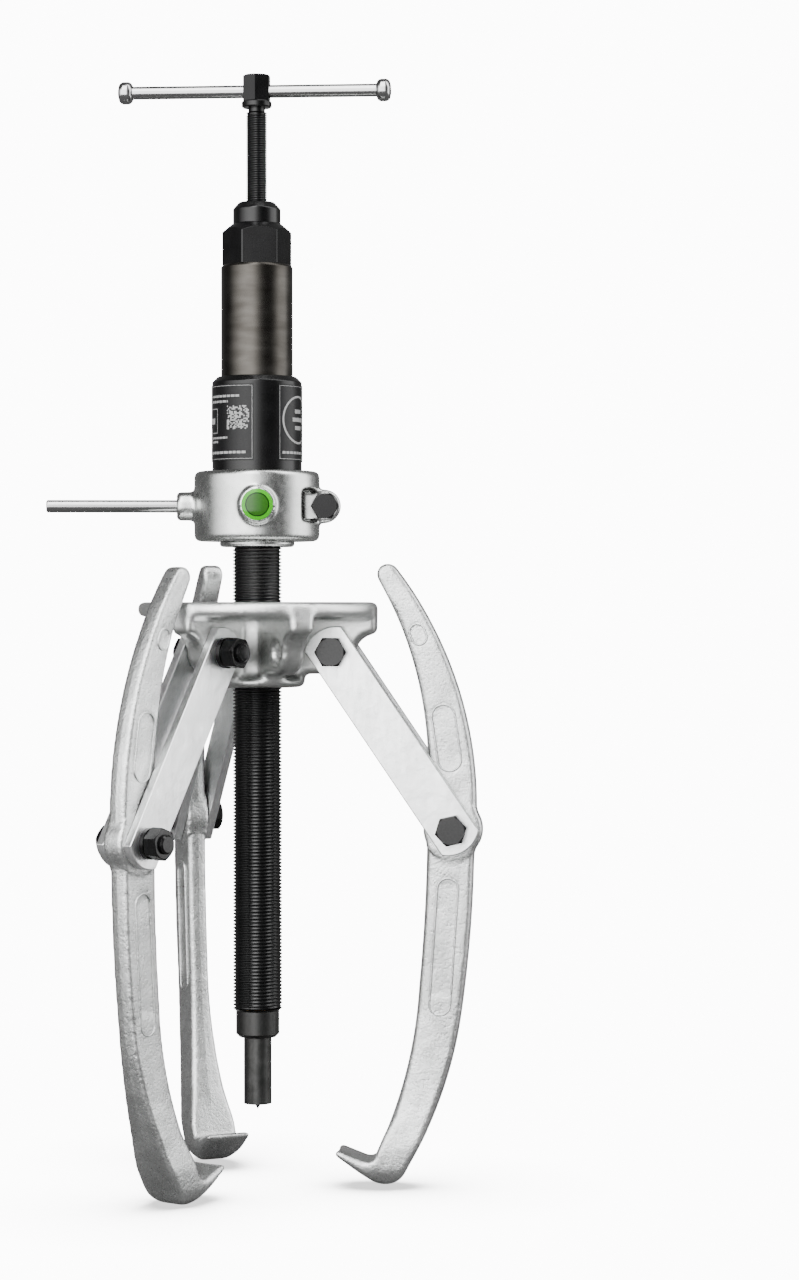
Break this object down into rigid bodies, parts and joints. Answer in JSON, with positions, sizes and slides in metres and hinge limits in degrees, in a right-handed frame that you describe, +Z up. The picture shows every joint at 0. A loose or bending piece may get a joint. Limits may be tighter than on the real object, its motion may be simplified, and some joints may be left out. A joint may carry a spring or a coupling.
{
  "type": "gear puller",
  "caption": "Jaw puller for gears and bearings: hooked steel arms on link bars under a cast yoke, with a threaded hydraulic spindle, clamp ring with a handle rod and a sliding tommy bar.",
  "frame": {"origin": "centre of the ram's lower end face, at the root of its centre point", "axes": "+Z up along the spindle towards the tommy bar, +X towards the right arm"},
  "size_m": [0.3729, 0.3467, 0.9512],
  "materials": {
    "forged_zinc": "zinc-plated forging, satin with fine grain",
    "plated_bar": "zinc-plated flat bar, satin",
    "cast_zinc": "bright plated casting",
    "bright_steel": "ground and polished",
    "black_oxide": "black oxide, satin",
    "dark_turned": "dark, finely turned",
    "ground_steel": "ground, dark grey",
    "bronze": "bearing bronze",
    "seal_rubber": "matt",
    "spring_steel": "oiled wire",
    "label_film": "dark satin film",
    "green_plastic": "gloss"
  },
  "bodies": {
    "yoke": {"yoke": "cast_zinc"},
    "right_links": {"right_link_head_side": "plated_bar", "right_link_nut_side": "plated_bar", "right_link_bolts": "black_oxide", "right_link_nuts": "black_oxide", "right_lock_washers": "black_oxide"},
    "right_arm_body": {"right_arm": "forged_zinc"},
    "front_links": {"front_link_head_side": "plated_bar", "front_link_nut_side": "plated_bar", "front_link_bolts": "black_oxide", "front_link_nuts": "black_oxide", "front_lock_washers": "black_oxide"},
    "front_arm_body": {"front_arm": "forged_zinc"},
    "rear_links": {"rear_link_head_side": "plated_bar", "rear_link_nut_side": "plated_bar", "rear_link_bolts": "black_oxide", "rear_link_nuts": "black_oxide", "rear_lock_washers": "black_oxide"},
    "rear_arm_body": {"rear_arm": "forged_zinc"},
    "spring_carrier": {"spring_seat": "ground_steel", "return_spring": "spring_steel"},
    "spindle": {"spindle_tube": "black_oxide", "ram_guide_bush": "bronze", "cylinder_body": "black_oxide", "pump_cylinder": "dark_turned", "hexagon_cap": "black_oxide", "gland": "black_oxide", "gland_seal": "seal_rubber", "left_label": "label_film", "right_label": "label_film", "spindle_collar": "cast_zinc", "clamp_ring": "cast_zinc", "clamp_bolt": "black_oxide", "clamp_nut": "black_oxide", "handle_rod": "bright_steel", "green_cap": "green_plastic"},
    "ram": {"ram_rod": "ground_steel", "centre_point": "ground_steel", "ram_piston": "ground_steel", "piston_seal": "seal_rubber"},
    "plunger_body": {"plunger": "ground_steel", "plunger_seal": "seal_rubber"},
    "screw": {"pressure_screw": "black_oxide"},
    "bar": {"tommy_bar": "bright_steel", "tommy_bar_knobs": "bright_steel"}
  },
  "joints": [
    {"name": "right_link_swing", "type": "hinge", "parent": "yoke", "child": "right_links", "pos_m": [0.0664, 0, 0.388], "axis": [0, -1, 0], "range_deg": [-4, 12]},
    {"name": "right_arm_tilt", "type": "hinge", "parent": "right_links", "child": "right_arm_body", "pos_m": [0.1688, 0, 0.237], "axis": [0, -1, 0], "range_deg": [-5, 1.2]},
    {"name": "front_link_swing", "type": "hinge", "parent": "yoke", "child": "front_links", "pos_m": [-0.0332, -0.0575, 0.388], "axis": [-0.866, 0.5, 0], "range_deg": [-2.5, 6]},
    {"name": "front_arm_tilt", "type": "hinge", "parent": "front_links", "child": "front_arm_body", "pos_m": [-0.08241, -0.14273, 0.23437], "axis": [-0.866, 0.5, 0], "range_deg": [-5, 0.2]},
    {"name": "rear_link_swing", "type": "hinge", "parent": "yoke", "child": "rear_links", "pos_m": [-0.0332, 0.0575, 0.388], "axis": [0.866, 0.5, 0], "range_deg": [-4, 12]},
    {"name": "rear_arm_tilt", "type": "hinge", "parent": "rear_links", "child": "rear_arm_body", "pos_m": [-0.0844, 0.14619, 0.237], "axis": [0.866, 0.5, 0], "range_deg": [-5, 1.2]},
    {"name": "spindle_advance", "type": "slide", "parent": "yoke", "child": "spring_carrier", "axis": [0, 0, -1], "range_m": [-0.26401, 0.03001]},
    {"name": "spindle_turn", "type": "hinge", "parent": "spring_carrier", "child": "spindle", "pos_m": [0, 0, 0.4], "axis": [0, 0, -1], "range_deg": [-31680, 3600]},
    {"name": "ram_stroke", "type": "slide", "parent": "spring_carrier", "child": "ram", "axis": [0, 0, -1], "range_m": [-0.00001, 0.01153], "deforming": ["return_spring"]},
    {"name": "plunger_advance", "type": "slide", "parent": "spindle", "child": "plunger_body", "axis": [0, 0, -1], "range_m": [-0.00001, 0.07201]},
    {"name": "pressure_screw_turn", "type": "hinge", "parent": "plunger_body", "child": "screw", "pos_m": [0, 0, 0.8], "axis": [0, 0, -1], "range_deg": [0, 12960]},
    {"name": "tommy_bar_slide", "type": "slide", "parent": "screw", "child": "bar", "axis": [0.9997, 0.0262, 0], "range_m": [-0.091, 0.095]}
  ],
  "couplings": [
    {"joint": "spindle_advance", "follows": "spindle_turn", "m_per_rad": 0.00047746},
    {"joint": "plunger_advance", "follows": "pressure_screw_turn", "m_per_rad": 0.00031831},
    {"joint": "ram_stroke", "follows": "pressure_screw_turn", "m_per_rad": 0.00005093}
  ]
}
